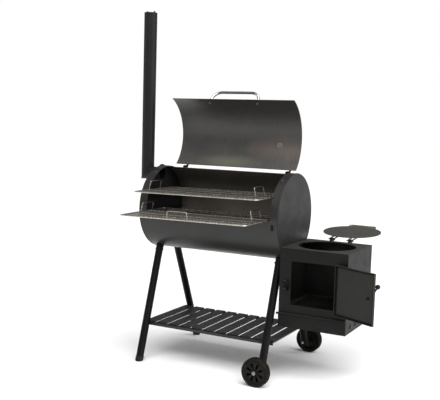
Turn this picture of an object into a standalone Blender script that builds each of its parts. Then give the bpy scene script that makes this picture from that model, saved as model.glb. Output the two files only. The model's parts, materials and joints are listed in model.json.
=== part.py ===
"""Offset barrel smoker: lid, firebox lid and firebox door open, both grates pulled forward.

Metres. +X runs from the chimney to the firebox, +Y is the back, +Z is up, feet and wheels on z = 0.
"""

import math

import bmesh
import bpy
from mathutils import Matrix, Vector

# where the barrel's mid point sits over the floor, so that the whole is centred on the origin
CENTRE = Vector((-0.18259, -0.05181, 0.0))
GAP = 0.0003
BALL_FLAT = math.cos(math.radians(24))

BARREL_R, BARREL_HALF, BARREL_Z, SHEET = 0.203, 0.3636, 0.726, 0.0025
OPEN_HALF, OPEN_LOW, OPEN_HIGH = 0.326, -3.0, 106.0
END_T = 0.003
LID_R, LID_HALF, LID_T, LID_LOW, LID_HIGH = 0.2036, 0.330, 0.002, -2.0, 107.0
LID_PIVOT, LID_OPEN = Vector((0.0, 0.0724, 0.9240)), 118.6

PIPE_R, PIPE_T, PIPE_X, PIPE_Z, PIPE_TOP = 0.0323, 0.0018, -0.452, 0.887, 1.686

LEG_R, LEG_T, LEG_FOOT, LEG_LEAN = 0.018, 0.0016, 0.283, 0.382
LEFT_X, LEFT_SWAY = -0.299, -0.040
RIGHT_X, RIGHT_SWAY = 0.3392, -0.019
WHEEL_R, WHEEL_Y, WHEEL_W = 0.065, 0.3195, 0.040
AXLE_R, AXLE_X = 0.005, RIGHT_X + RIGHT_SWAY * WHEEL_R

SHELF_X, SHELF_TOP, SHELF_Y = (-0.330, 0.376), 0.178, 0.1975
SLATS, SLAT_W, SLAT_D = 11, 0.050, 0.006
RAIL_END, RAIL_TALL = 0.362, 0.013

BOX_X, BOX_Y, BOX_Z = (0.3669, 0.687), (-0.160, 0.176), (0.2435, 0.6036)
BOX_MID = 0.5268
HOLE_R, COVER_R, COVER_T = 0.1325, 0.142, 0.003
COVER_PIVOT, COVER_OPEN = Vector((0.0, 0.1835, 0.6115)), 176.0
DOORWAY_X, DOORWAY_Z = (0.423, 0.628), (0.348, 0.547)
DOOR_W, DOOR_Z, DOOR_DEEP = 0.224, (0.333, 0.5555), 0.011
DOOR_PIVOT, DOOR_OPEN = Vector((0.6404, -0.1735, 0.0)), 155.0
LATCH_IN, LATCH_Z = 0.187, 0.445
TRAY_Z = 0.309

# the grates rise a little to the right; loops stand over the border on the left, over a bar on the right
GRATE_RISE = math.radians(0.53)
LOWER = dict(half=0.3225, deep=0.38, out=0.247, z=0.7230, loops_y=0.037, loop_x=0.266)
UPPER = dict(half=0.3225, deep=0.34, out=0.155, z=0.8230, loops_y=0.013, loop_x=0.249)


def clear():
    for ob in list(bpy.data.objects):
        bpy.data.objects.remove(ob)


clear()
SMOKER = bpy.data.collections.new("offset_smoker")
CUTTERS = bpy.data.collections.new("cutters")
for col in (SMOKER, CUTTERS):
    bpy.context.scene.collection.children.link(col)


def paint(name, colour, metallic, rough):
    mat = bpy.data.materials.new(name)
    mat.use_nodes = True
    shader = mat.node_tree.nodes["Principled BSDF"]
    shader.inputs["Base Color"].default_value = (*colour, 1)
    shader.inputs["Metallic"].default_value = metallic
    shader.inputs["Roughness"].default_value = rough
    return mat


BLACK = paint("black_paint", (0.035, 0.034, 0.032), 0.0, 0.5)
LID_STEEL = paint("lid_paint", (0.05, 0.048, 0.045), 0.2, 0.4)
CHROME = paint("chromed_tube", (0.62, 0.60, 0.56), 1.0, 0.15)
WIRE = paint("bright_wire", (0.55, 0.52, 0.47), 1.0, 0.3)
PLASTIC = paint("black_plastic", (0.02, 0.02, 0.02), 0.0, 0.45)
TYRE = paint("tyre_rubber", (0.045, 0.042, 0.038), 0.0, 0.8)
ZINC = paint("zinc_steel", (0.55, 0.55, 0.53), 1.0, 0.35)


def empty(name, at, turn=(0, 0, 0), parent=None):
    ob = bpy.data.objects.new(name, None)
    ob.location, ob.rotation_euler, ob.parent = at, turn, parent
    SMOKER.objects.link(ob)
    return ob


ROOT = empty("smoker", CENTRE)


def place(ob, mat, parent, at=(0, 0, 0), turn=(0, 0, 0)):
    ob.location, ob.rotation_euler, ob.parent = at, turn, parent or ROOT
    ob.data.materials.append(mat)
    SMOKER.objects.link(ob)
    return ob


def solid(name, verts, faces, mat, parent=None, at=(0, 0, 0), turn=(0, 0, 0)):
    mesh = bpy.data.meshes.new(name)
    mesh.from_pydata([tuple(v) for v in verts], [], faces)
    work = bmesh.new()
    work.from_mesh(mesh)
    bmesh.ops.recalc_face_normals(work, faces=work.faces[:])
    work.to_mesh(mesh)
    work.free()
    return place(bpy.data.objects.new(name, mesh), mat, parent, at, turn)


def primitive(name, make, mat, parent, at, turn=(0, 0, 0)):
    """An object from one of bmesh's own shapes."""
    work = bmesh.new()
    make(work)
    mesh = bpy.data.meshes.new(name)
    work.to_mesh(mesh)
    work.free()
    return place(bpy.data.objects.new(name, mesh), mat, parent, at, turn)


def box(name, xs, ys, zs, mat, parent=None):
    """A block between two corners, its origin at its middle."""
    mid = Vector([(s[0] + s[1]) / 2 for s in (xs, ys, zs)])
    size = Matrix.Diagonal([abs(s[1] - s[0]) for s in (xs, ys, zs)] + [1])
    return primitive(name, lambda work: bmesh.ops.create_cube(work, size=1.0, matrix=size), mat, parent, mid)


def arc(r, a0, a1, n, mid=(0.0, 0.0)):
    """Points on a circle, angles in degrees."""
    steps = [math.radians(a0 + (a1 - a0) * i / n) for i in range(n + 1)]
    return [(mid[0] + r * math.cos(a), mid[1] + r * math.sin(a)) for a in steps]


def ring(r, n, mid=(0.0, 0.0)):
    return arc(r, 0, 360, n, mid)[:-1]


def sheet(name, loops, thick, mat, parent=None, at=(0, 0, 0), facing="z"):
    """Flat outline with holes, thickened both ways: facing z lies flat, x stands across, y stands along."""
    data = bpy.data.curves.new(name, "CURVE")
    data.dimensions, data.fill_mode, data.extrude = "2D", "BOTH", thick / 2
    for loop in loops:
        line = data.splines.new("POLY")
        line.points.add(len(loop) - 1)
        for point, (x, y) in zip(line.points, loop):
            point.co = (x, y, 0, 1)
        line.use_cyclic_u = True
    q = math.pi / 2
    turn = {"z": (0, 0, 0), "x": (q, 0, q), "y": (q, 0, 0)}[facing]
    return place(bpy.data.objects.new(name, data), mat, parent, at, turn)


def bake(ob):
    """Swap a curve object for a welded mesh, so that it can be cut."""
    data = bpy.data.meshes.new_from_object(ob.evaluated_get(bpy.context.evaluated_depsgraph_get()))
    new = bpy.data.objects.new(ob.name, data)
    new.location, new.rotation_euler, new.parent = ob.location, ob.rotation_euler, ob.parent
    name = ob.name
    bpy.data.objects.remove(ob)
    new.name = name
    SMOKER.objects.link(new)
    weld = new.modifiers.new("weld", "WELD")
    weld.merge_threshold = 0.00002
    return new


def rod(name, a, b, r, mat, parent=None, n=16):
    """Round bar from a to b, its origin at its middle."""
    a, b = Vector(a), Vector(b)
    turn = (b - a).to_track_quat("Z", "Y").to_matrix().to_4x4()
    shape = dict(cap_ends=True, segments=n, radius1=r, radius2=r, depth=(b - a).length, matrix=turn)
    return primitive(name, lambda work: bmesh.ops.create_cone(work, **shape), mat, parent, (a + b) / 2)


def lathe(name, profile, mat, parent, at, n=40):
    """Closed profile of (radius, y) turned about the Y axis."""
    m = len(profile)
    verts = [(r * math.cos(t), y, r * math.sin(t)) for t in [2 * math.pi * i / n for i in range(n)]
             for r, y in profile]
    faces = [(i * m + j, i * m + (j + 1) % m, (i + 1) % n * m + (j + 1) % m, (i + 1) % n * m + j)
             for i in range(n) for j in range(m)]
    return solid(name, verts, faces, mat, parent, at)


def tunnel(name, outer, inner, mat, parent=None):
    """Hollow tube from matching lists of outer and inner rings."""
    n, k = len(outer[0]), len(outer)
    verts = [v for r in outer + inner for v in r]
    at = lambda r, i: r * n + i % n
    faces = []
    for i in range(n):
        for r in range(k - 1):
            faces.append((at(r, i), at(r, i + 1), at(r + 1, i + 1), at(r + 1, i)))
            faces.append((at(k + r, i + 1), at(k + r, i), at(k + r + 1, i), at(k + r + 1, i + 1)))
        faces.append((at(0, i + 1), at(0, i), at(k, i), at(k, i + 1)))
        faces.append((at(k - 1, i), at(k - 1, i + 1), at(2 * k - 1, i + 1), at(2 * k - 1, i)))
    return solid(name, verts, faces, mat, parent)


def wire(name, points, r, mat, parent=None, at=(0, 0, 0), res=1, turn=(0, 0, 0)):
    data = bpy.data.curves.new(name, "CURVE")
    data.dimensions, data.bevel_depth, data.bevel_resolution, data.use_fill_caps = "3D", r, res, True
    line = data.splines.new("POLY")
    line.points.add(len(points) - 1)
    for point, co in zip(line.points, points):
        point.co = (*co, 1)
    return place(bpy.data.objects.new(name, data), mat, parent, at, turn)


def bend(corners, r, n=4):
    """A polyline with its inner corners rounded."""
    pts = [Vector(c) for c in corners]
    out = [pts[0]]
    for a, b, c in zip(pts, pts[1:], pts[2:]):
        u, v = (a - b).normalized(), (c - b).normalized()
        half = u.angle(v) / 2
        reach = r / math.tan(half)
        mid = b + (u + v).normalized() * r / math.sin(half)
        p, q = b + u * reach - mid, b + v * reach - mid
        out += [mid + p.lerp(q, i / n).normalized() * r for i in range(n + 1)]
    return out + [pts[-1]]


def boolean(ob, tool, how):
    mod = ob.modifiers.new(how.lower(), "BOOLEAN")
    mod.object, mod.operation, mod.solver = tool, how, "EXACT"
    SMOKER.objects.unlink(tool)
    CUTTERS.objects.link(tool)
    tool.hide_render, tool.display_type = True, "WIRE"


def cut(ob, *tools):
    for tool in tools:
        boolean(ob, tool, "DIFFERENCE")
    return ob


def join(ob, *tools):
    for tool in tools:
        boolean(ob, tool, "UNION")
    return ob


def on_barrel(r, deg):
    """(y, z) on a circle about the barrel's axis: 0 is the front, 90 the top."""
    a = math.radians(deg)
    return -r * math.cos(a), BARREL_Z + r * math.sin(a)


def shell_outline(r0, r1, a0, a1, n):
    steps = [a0 + (a1 - a0) * i / n for i in range(n + 1)]
    return [on_barrel(r1, a) for a in steps] + [on_barrel(r0, a) for a in reversed(steps)]


def barrel():
    body = bake(sheet("barrel_shell", [ring(BARREL_R, 80), ring(BARREL_R - SHEET, 80)],
                      2 * BARREL_HALF - 2 * GAP, BLACK, None, (0, 0, BARREL_Z), "x"))
    wedge = [(0.0, 0.0)] + [(0.3 * -math.cos(math.radians(a)), 0.3 * math.sin(math.radians(a)))
                            for a in (OPEN_LOW, 50, OPEN_HIGH)]
    cut(body, bake(sheet("opening", [wedge], 2 * OPEN_HALF, BLACK, None, (0, 0, BARREL_Z), "x")))
    flue = ring(PIPE_R - PIPE_T, 32, (0.0, PIPE_Z - BARREL_Z))
    throat = arc(BARREL_R - 0.022, 227, 313, 14)
    for name, side, hole in (("left_end_plate", -1, flue), ("right_end_plate", 1, throat)):
        sheet(name, [ring(BARREL_R, 80), hole], END_T, BLACK, None,
              (side * (BARREL_HALF + END_T / 2), 0, BARREL_Z), "x")


def rails():
    """Angle rails on the end plates that carry the grates."""
    wide, tall, t = 0.047, 0.018, 0.002
    for level, g in (("lower", LOWER), ("upper", UPPER)):
        reach = math.sqrt((BARREL_R - SHEET - 0.003) ** 2 - (g["z"] - tall - 0.006 - BARREL_Z) ** 2) - 0.004
        for side, s in (("left", -1), ("right", 1)):
            x = s * (BARREL_HALF - 2 * GAP)
            out = [(0, 0), (wide, 0), (wide, -t), (t, -t), (t, -tall), (0, -tall)]
            out = [(-s * u, v) for u, v in out]
            top = g["z"] + s * g["half"] * math.tan(GRATE_RISE) - 0.003 - 2 * GAP
            sheet(f"{level}_{side}_rail", [out], 2 * min(reach, 0.165), BLACK, None, (x, 0, top), "y")


def mitre(r, n=32):
    """Rings of the flue: at the end plate, along the mitre and at the top."""
    flat, slant, high = [], [], []
    for i in range(n):
        a = 2 * math.pi * i / n
        u, y = r * math.cos(a), r * math.sin(a)
        flat.append(Vector((-BARREL_HALF - END_T - GAP, y, PIPE_Z + u)))
        slant.append(Vector((PIPE_X + u, y, PIPE_Z + u)))
        high.append(Vector((PIPE_X + u, y, PIPE_TOP)))
    return flat, slant, high


def chimney():
    outer, inner = mitre(PIPE_R), mitre(PIPE_R - PIPE_T)
    lift = Vector((0, 0, GAP))
    # the elbow's stub and the stack meet at the mitre
    tunnel("chimney_elbow", [outer[0][::-1], outer[1][::-1]], [inner[0][::-1], inner[1][::-1]], BLACK)
    tunnel("chimney_stack", [[v + lift for v in outer[1]][::-1], outer[2][::-1]],
           [[v + lift for v in inner[1]][::-1], inner[2][::-1]], BLACK)
    # a flat cap on a rivet in the pipe's wall, with two small finger tabs turned up
    side = PIPE_R - PIPE_T / 2
    pivot = empty("damper_pivot", (PIPE_X - side, 0, PIPE_TOP), parent=ROOT)
    body = bake(sheet("chimney_damper", [ring(PIPE_R, 48, (side, 0))], 0.002, BLACK, pivot, (0, 0, 0.001 + GAP)))
    tabs = [box(f"tab_{x}", (side + x - 0.0012, side + x + 0.0012), (-0.005, 0.005), (0.001, 0.010), BLACK, pivot)
            for x in (-0.0205, 0.0205)]
    join(body, *tabs)


def leg_rings(r, x, sway, side, low, n=24):
    """Rings of a leaning leg, cut flat below and to the barrel's curve above."""
    lean = Vector((sway, -side * LEG_LEAN, 1))
    rings = ([], [])
    for i in range(n):
        a = 2 * math.pi * i / n
        across = Vector((r * math.cos(a), r * math.sin(a) * math.sqrt(1 + LEG_LEAN ** 2), 0))
        foot = Vector((x, side * LEG_FOOT, 0)) + across
        rings[0].append(foot + lean * low)
        # where this line meets the barrel
        p = foot - Vector((0, 0, BARREL_Z))
        qa, qb = lean.y ** 2 + 1, p.y * lean.y + p.z
        qc = p.y ** 2 + p.z ** 2 - (BARREL_R + 2 * GAP) ** 2
        rings[1].append(foot + lean * ((-qb - math.sqrt(qb * qb - qa * qc)) / qa))
    return list(rings)


def legs():
    for end, x, sway, low in (("left", LEFT_X, LEFT_SWAY, 0.014), ("right", RIGHT_X, RIGHT_SWAY, 0.045)):
        for face, side in (("front", -1), ("rear", 1)):
            leg = tunnel(f"{face}_{end}_leg", leg_rings(LEG_R, x, sway, side, low),
                         leg_rings(LEG_R - LEG_T, x, sway, side, low), BLACK)
            if end == "left":
                foot(face, side)
            else:
                y = side * (LEG_FOOT - LEG_LEAN * WHEEL_R)
                cut(leg, rod("bore", (AXLE_X, y - 0.05, WHEEL_R), (AXLE_X, y + 0.05, WHEEL_R), AXLE_R + GAP, BLACK))


def foot(face, side):
    """A cap under a left leg, cut level with the floor."""
    low_ring = leg_rings(LEG_R + 0.0012, LEFT_X, LEFT_SWAY, side, 0.0)[0]
    top_ring = leg_rings(LEG_R + 0.0012, LEFT_X, LEFT_SWAY, side, 0.014 - GAP)[0]
    n = len(low_ring)
    faces = [(i, (i + 1) % n, n + (i + 1) % n, n + i) for i in range(n)]
    faces += [tuple(range(n))[::-1], tuple(range(n, 2 * n))]
    solid(f"{face}_left_foot", low_ring + top_ring, faces, PLASTIC)


def wheels():
    w = WHEEL_W / 2
    bore, rim = AXLE_R + GAP, 0.0505
    hub = [(bore, -w - 0.001), (0.011, -w - 0.001), (0.013, -w + 0.004), (0.013, -0.010), (0.044, -0.010),
           (0.0455, -w + 0.002), (rim, -w + 0.002), (rim, w - 0.002), (0.0455, w - 0.002), (0.044, -0.002),
           (0.013, -0.002), (0.013, w - 0.004), (0.011, w + 0.001), (bore, w + 0.001)]
    band = [(rim + GAP, -w + 0.003), (WHEEL_R - 0.006, -w), (WHEEL_R - 0.0015, -w + 0.004), (WHEEL_R, -w + 0.009),
            (WHEEL_R, w - 0.009), (WHEEL_R - 0.0015, w - 0.004), (WHEEL_R - 0.006, w), (rim + GAP, w - 0.003)]
    inner = LEG_FOOT - LEG_LEAN * WHEEL_R - 0.028
    for face, side in (("front", -1), ("rear", 1)):
        spin = empty(f"{face}_wheel_pivot", (AXLE_X, side * WHEEL_Y, WHEEL_R), parent=ROOT)
        lathe(f"{face}_wheel", [(r, -side * y) for r, y in hub], PLASTIC, spin, (0, 0, 0))
        lathe(f"{face}_tyre", band, TYRE, spin, (0, 0, 0), 48)
        rod(f"{face}_axle_bolt", (AXLE_X, side * inner, WHEEL_R), (AXLE_X, side * (WHEEL_Y + w + 0.005), WHEEL_R),
            AXLE_R, ZINC, None, 20)


def shelf():
    x0, x1 = SHELF_X
    t = 0.0025
    for face, side in (("front", -1), ("rear", 1)):
        out = [(0, 0), (-0.022, 0), (-0.022, -t), (-t, -t), (-t, -RAIL_TALL), (0, -RAIL_TALL)]
        out = [(side * u, v) for u, v in out]
        sheet(f"shelf_{face}_rail", [out], RAIL_END - x0, BLACK, None,
              ((x0 + RAIL_END) / 2, side * SHELF_Y, SHELF_TOP - SLAT_D - GAP), "x")
    pitch = (x1 - x0) / SLATS
    w, d, t = SLAT_W / 2, SLAT_D, 0.0015
    out = [(-w, -d), (-w, 0), (w, 0), (w, -d), (w - t, -d), (w - t, -t), (t - w, -t), (t - w, -d)]
    for i in range(SLATS):
        sheet(f"shelf_slat_{i + 1:02d}", [out], 2 * SHELF_Y - 0.008, BLACK, None,
              (x0 + pitch * (i + 0.5), 0, SHELF_TOP), "y")


def firebox():
    t = 0.0025
    (x0, x1), (y0, y1), (z0, z1) = BOX_X, BOX_Y, BOX_Z
    body = box("firebox_body", BOX_X, BOX_Y, BOX_Z, BLACK)
    throat = arc(BARREL_R - 0.022, 227, 313, 14)
    cut(body,
        box("inside", (x0 + t, x1 - t), (y0 + t, y1 - t), (z0 + t, z1 - t), BLACK),
        box("doorway", DOORWAY_X, (y0 - 0.02, y0 + 0.02), DOORWAY_Z, BLACK),
        box("tray_way", (x0 + t + 0.001, x1 - t - 0.001), (y0 - 0.02, y0 + 0.02), (z0 + t + 0.001, TRAY_Z), BLACK),
        rod("hole", (BOX_MID, 0.008, z1 - 0.02), (BOX_MID, 0.008, z1 + 0.02), HOLE_R, BLACK, None, 72),
        bake(sheet("throat", [throat], 0.02, BLACK, None, (x0, 0, BARREL_Z), "x")),
        *[box(f"slot_{i}", (x1 - 0.02, x1 + 0.02), (y - 0.004, y + 0.004), (0.2605, 0.2815), BLACK)
          for i, y in enumerate((-0.0905, -0.023, 0.0445, 0.112))])
    zg = 0.326
    for side, xs in (("left", (x0 + t + GAP, x0 + 0.02)), ("right", (x1 - 0.02, x1 - t - GAP))):
        box(f"charcoal_{side}_ledge", xs, (y0 + t + GAP, y1 - t - GAP), (zg - 0.003, zg), BLACK)
    pitch = (x1 - x0 - 0.024) / 16
    columns = [pitch * (i - 7) for i in range(15)]
    bars("charcoal_grate", (x0 + 0.006, x1 - 0.006), (y0 + 0.008, y1 - 0.008), zg + GAP + 0.003, 0.006,
         columns, 0, BLACK, None)
    drawer = box("ash_drawer", (x0 + 0.006, x1 - 0.006), (y0 + 0.004, y1 - 0.006),
                 (z0 + t + 0.002, TRAY_Z - 0.012), BLACK)
    cut(drawer, box("hollow", (x0 + 0.0075, x1 - 0.0075), (y0 + 0.0055, y1 - 0.0075), (z0 + t + 0.0035, 0.4), BLACK))
    join(drawer,
         box("front", (x0, x1), (y0 - 0.003, y0 - GAP), (z0, TRAY_Z - 0.0005), BLACK),
         box("lip", (x0 - 0.003, x1), (y0 - 0.012, y0 - 0.001), (TRAY_Z - 0.0025, TRAY_Z - 0.0005), BLACK),
         box("neck", (x0 + 0.02, x1 - 0.02), (y0 - 0.001, y0 + 0.0045), (z0 + t + 0.004, TRAY_Z - 0.015), BLACK))
    catch()


def catch():
    """A plate left of the doorway with a slanted hook that the latch lever drops behind."""
    y = BOX_Y[0] - GAP
    plate = box("door_catch", (0.386, 0.412), (y - 0.002, y), (0.4125, 0.4625), BLACK)
    lip = [(-0.0015, -0.025), (-0.0015, -0.021), (-0.028, 0.006), (-0.030, 0.0045), (-0.0045, -0.025)]
    join(plate, bake(sheet("lip", [lip], 0.010, BLACK, None, (0.407, y, 0.4375), "x")))


def bars(name, xs, ys, z, thick, columns, rows, mat, parent, frame=0.006, bar=0.003):
    """Flat grid about its middle: a border, bars at the given columns and evenly spaced rows."""
    (x0, x1), (y0, y1) = xs, ys
    mid = ((x0 + x1) / 2, (y0 + y1) / 2)
    corners = [(x0, y0), (x1, y0), (x1, y1), (x0, y1)]
    loops = [[(x - mid[0], y - mid[1]) for x, y in corners]]
    edges = [x0 + frame - mid[0]] + [c + s * bar / 2 for c in columns for s in (-1, 1)] + [x1 - frame - mid[0]]
    d = (y1 - y0 - 2 * frame - rows * bar) / (rows + 1)
    for a, b in zip(edges[::2], edges[1::2]):
        for j in range(rows + 1):
            c = y0 + frame + j * (d + bar) - mid[1]
            loops.append([(a, c), (a, c + d), (b, c + d), (b, c)])
    return sheet(name, loops, thick, mat, parent, (*mid, z))


def grates():
    for level, g in (("lower", LOWER), ("upper", UPPER)):
        hold = empty(f"{level}_grate_slide", (0, -g["out"], g["z"]), (0, -GRATE_RISE, 0), ROOT)
        half, deep, y = g["half"], g["deep"] / 2, g["loops_y"]
        columns = (-0.16, 0.0, 0.16, g["loop_x"])
        body = bake(bars(f"{level}_grate", (-half, half), (-deep, deep), 0.0, 0.006, columns, 12, WIRE, hold))
        loops = []
        for x, top in ((0.003 - half, 0.012 - half), (g["loop_x"], g["loop_x"] - 0.009)):
            path = [(x, y - 0.048, 0.0), (top, y - 0.048, 0.042), (top, y + 0.048, 0.042), (x, y + 0.048, 0.0)]
            loops.append(bake(wire(f"loop_{x}", bend(path, 0.008, 3), 0.0022, WIRE, hold)))
        if level == "lower":
            a, b, front = -0.067, 0.034, 0.003 - deep
            path = [(a, front, 0.0), (a, front, 0.037), (b, front, 0.037), (b, front, 0.0)]
            loops.append(bake(wire("loop_front", bend(path, 0.010, 3), 0.0022, WIRE, hold)))
        join(body, *loops)


def main_lid():
    pivot = empty("lid_pivot", LID_PIVOT, (math.radians(-LID_OPEN), 0, 0), ROOT)
    rel = lambda p: (p[0] - LID_PIVOT.y, p[1] - LID_PIVOT.z)
    skin = [rel(p) for p in shell_outline(LID_R, LID_R + LID_T, LID_LOW, LID_HIGH, 44)]
    sheet("lid_shell", [skin], 2 * LID_HALF, LID_STEEL, pivot, (0, 0, 0), "x")
    # handle: a bent tube standing off the front edge
    foot = LID_LOW + 8.7
    a = Vector((0, *rel(on_barrel(LID_R + LID_T + GAP, foot))))
    b = Vector((0, *rel(on_barrel(LID_R + LID_T + 0.060, foot))))
    mid, span = 0.0, 0.1295
    path = [Vector((mid - span, a.y, a.z)), Vector((mid - span, b.y, b.z)),
            Vector((mid + span, b.y, b.z)), Vector((mid + span, a.y, a.z))]
    wire("lid_handle", bend(path, 0.050, 8), 0.007, CHROME, pivot, (0, 0, 0), 2)
    for side, x in (("left", -0.272), ("right", 0.291)):
        r = LID_R + LID_T + GAP
        arm = [rel(on_barrel(r, a)) for a in (97, 99, 101, 103, 105, 107)]
        arm += [(0.0048, -0.0048), (0.0068, 0.0), (0.004, 0.0060), (-0.004, 0.0085), rel(on_barrel(r + 0.007, 98))]
        arm = bake(sheet(f"lid_{side}_hinge_arm", [arm], 0.006, BLACK, pivot, (x + 0.006, 0, 0), "x"))
        pin = rod("pin", (x - 0.012, 0, 0), (x + 0.012, 0, 0), 0.003, BLACK, pivot, 12)
        head = rod("head", (x - 0.0125, 0, 0), (x - 0.0075, 0, 0), 0.0055, BLACK, pivot, 6)
        join(arm, pin, head)
        foot = [(y, BARREL_Z + math.sqrt((BARREL_R + GAP) ** 2 - y * y)) for y in (0.0645, 0.075, 0.085, 0.095)]
        out = [(y - LID_PIVOT.y, z - LID_PIVOT.z) for y, z in foot]
        out += [(0.0085, 0.002), (0.004, 0.0075), (-0.004, 0.0075), (-0.0075, 0.001)]
        sheet(f"lid_{side}_hinge_bracket", [out, ring(0.0034, 12)], 0.007, BLACK, None,
              (x - 0.002, LID_PIVOT.y, LID_PIVOT.z), "x")


def firebox_lid():
    pivot = empty("firebox_lid_pivot", COVER_PIVOT, (math.radians(-COVER_OPEN), 0, 0), ROOT)
    y, z = 0.008 - COVER_PIVOT.y, BOX_Z[1] + GAP - COVER_PIVOT.z
    cover = bake(sheet("firebox_lid", [ring(COVER_R, 72)], COVER_T, BLACK, pivot, (BOX_MID, y, z + COVER_T / 2)))
    arms = []
    low, wall = BOX_Z[1] + GAP - COVER_PIVOT.z, BOX_Y[1] + GAP - COVER_PIVOT.y
    for i, x in enumerate((0.487, 0.578)):
        # two arms on the lid straddle a post on the firebox
        arm = [(-0.075, z + 0.001), (-0.075, z + 0.007), (-0.012, z + 0.007), (0.0, 0.006), (0.006, 0.0),
               (0.0, -0.006), (-0.012, z + 0.001)]
        for side in (-1, 1):
            arms.append(bake(sheet(f"arm_{i}_{side}", [arm], 0.004, BLACK, pivot, (x + side * 0.0105, 0, 0), "x")))
        arms.append(rod(f"pin_{i}", (x - 0.019, 0, 0), (x + 0.015, 0, 0), 0.003, BLACK, pivot, 12))
        base = [(-0.022, low), (-0.012, 0.0045), (-0.003, 0.0068), (0.004, 0.0065), (0.0075, 0.002), (0.0075, -0.034),
                (wall, -0.034), (wall, low)]
        sheet(f"firebox_lid_bracket_{i + 1}", [base, ring(0.0034, 12)], 0.012, BLACK, None,
              (x, COVER_PIVOT.y, COVER_PIVOT.z), "x")
    join(cover, *arms)
    # the handle reaches forward past the firebox, just clear of its top
    front, h, drop = y - COVER_R, z + COVER_T + 0.0063, z + 0.0063
    path = [(-0.066, front + 0.03, h), (-0.066, front - 0.008, h), (-0.066, front - 0.036, drop),
            (0.066, front - 0.036, drop), (0.066, front - 0.008, h), (0.066, front + 0.03, h)]
    wire("firebox_lid_handle", bend(path, 0.008, 4), 0.0055, CHROME, pivot, (BOX_MID, 0, 0), 2)


def door():
    pivot = empty("door_pivot", DOOR_PIVOT, (0, 0, math.radians(DOOR_OPEN)), ROOT)
    zs, deep, t = DOOR_Z, DOOR_DEEP, 0.002
    # closed: the pan reaches left from the pivot, its open side to the firebox
    pan = box("firebox_door", (-DOOR_W, 0), (0, deep), zs, BLACK, pivot)
    cut(pan, box("pan_hollow", (-DOOR_W + t, -t), (t, 0.05), (zs[0] + t, zs[1] - t), BLACK, pivot))
    for i, z in enumerate((zs[0] + 0.035, zs[1] - 0.035)):
        knuckle = rod(f"door_hinge_{i + 1}", (DOOR_PIVOT.x + 0.0052, DOOR_PIVOT.y + 0.0045, z - 0.017),
                      (DOOR_PIVOT.x + 0.0052, DOOR_PIVOT.y + 0.0045, z + 0.017), 0.0045, BLACK, None, 16)
        leaf = box("leaf", (DOOR_PIVOT.x + 0.004, DOOR_PIVOT.x + 0.026), (BOX_Y[0] - 0.0025, BOX_Y[0] - GAP),
                   (z - 0.017, z + 0.017), BLACK)
        web = box("web", (DOOR_PIVOT.x + 0.004, DOOR_PIVOT.x + 0.008), (DOOR_PIVOT.y + 0.005, BOX_Y[0] - 0.001),
                  (z - 0.017, z + 0.017), BLACK)
        join(knuckle, web, leaf)
    lever_at = Vector((-LATCH_IN, -GAP, LATCH_Z))
    swing = empty("latch_pivot", lever_at, parent=pivot)
    knob, r = Vector((-0.012, -0.043, 0.046)), 0.0105
    start = Vector((0, -0.015, 0))
    way = (start - knob).normalized()
    lever = rod("latch_lever", (0, -0.0005, 0), (0, -0.020, 0), 0.008, BLACK, swing, 16)
    blade = box("blade", (-0.007, 0.007), (-0.0075, -0.0035), (-0.004, 0.063), BLACK, swing)
    join(lever, blade, rod("arm", start, knob + way * (r * BALL_FLAT + GAP), 0.0038, BLACK, swing, 12))
    ball(swing, knob, r, way)


def ball(parent, at, r, way):
    """Plastic ball with a flat, towards way, where the arm meets it."""
    mesh = bake_ball(r)
    ob = place(bpy.data.objects.new("latch_ball", mesh), PLASTIC, parent, at)
    ob.rotation_euler = way.to_track_quat("Z", "Y").to_euler()


def bake_ball(r):
    work = bmesh.new()
    bmesh.ops.create_uvsphere(work, u_segments=20, v_segments=14, radius=r)
    top = dict(plane_co=(0, 0, r * BALL_FLAT), plane_no=(0, 0, 1))
    cut = bmesh.ops.bisect_plane(work, geom=work.verts[:] + work.edges[:] + work.faces[:], clear_outer=True, **top)
    rim = [e for e in cut["geom_cut"] if isinstance(e, bmesh.types.BMEdge)]
    bmesh.ops.contextual_create(work, geom=rim)
    mesh = bpy.data.meshes.new("latch_ball")
    work.to_mesh(mesh)
    work.free()
    return mesh


barrel()
rails()
chimney()
legs()
wheels()
shelf()
firebox()
grates()
main_lid()
firebox_lid()
door()
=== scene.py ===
"""Looks of the offset smoker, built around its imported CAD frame.

Metres, in the CAD's frame. Places come from the frame's boxes and joints. A piece of a lid or door is
shaped where it is when shut, and then turned to where it is at rest.
"""

import json
import math

import bmesh
import bpy
from mathutils import Matrix, Vector


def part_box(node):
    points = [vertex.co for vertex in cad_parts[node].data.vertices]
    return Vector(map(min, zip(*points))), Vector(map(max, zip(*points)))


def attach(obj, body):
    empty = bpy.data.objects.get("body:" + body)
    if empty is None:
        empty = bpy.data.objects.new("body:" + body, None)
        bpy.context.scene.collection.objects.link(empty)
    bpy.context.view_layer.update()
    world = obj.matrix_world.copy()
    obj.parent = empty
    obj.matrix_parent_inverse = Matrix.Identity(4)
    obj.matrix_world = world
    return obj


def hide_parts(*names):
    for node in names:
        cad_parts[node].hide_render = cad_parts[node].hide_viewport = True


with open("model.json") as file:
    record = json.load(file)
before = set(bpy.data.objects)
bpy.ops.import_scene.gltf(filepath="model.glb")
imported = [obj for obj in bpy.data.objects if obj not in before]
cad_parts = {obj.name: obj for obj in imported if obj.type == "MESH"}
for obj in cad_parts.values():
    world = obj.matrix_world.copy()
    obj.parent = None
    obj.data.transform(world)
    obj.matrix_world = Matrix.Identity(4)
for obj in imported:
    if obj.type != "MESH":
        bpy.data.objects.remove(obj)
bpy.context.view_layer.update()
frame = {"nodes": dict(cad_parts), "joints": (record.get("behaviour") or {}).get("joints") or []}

NODES = frame["nodes"]
JOINTS = {j["name"]: j for j in frame["joints"]}

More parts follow.
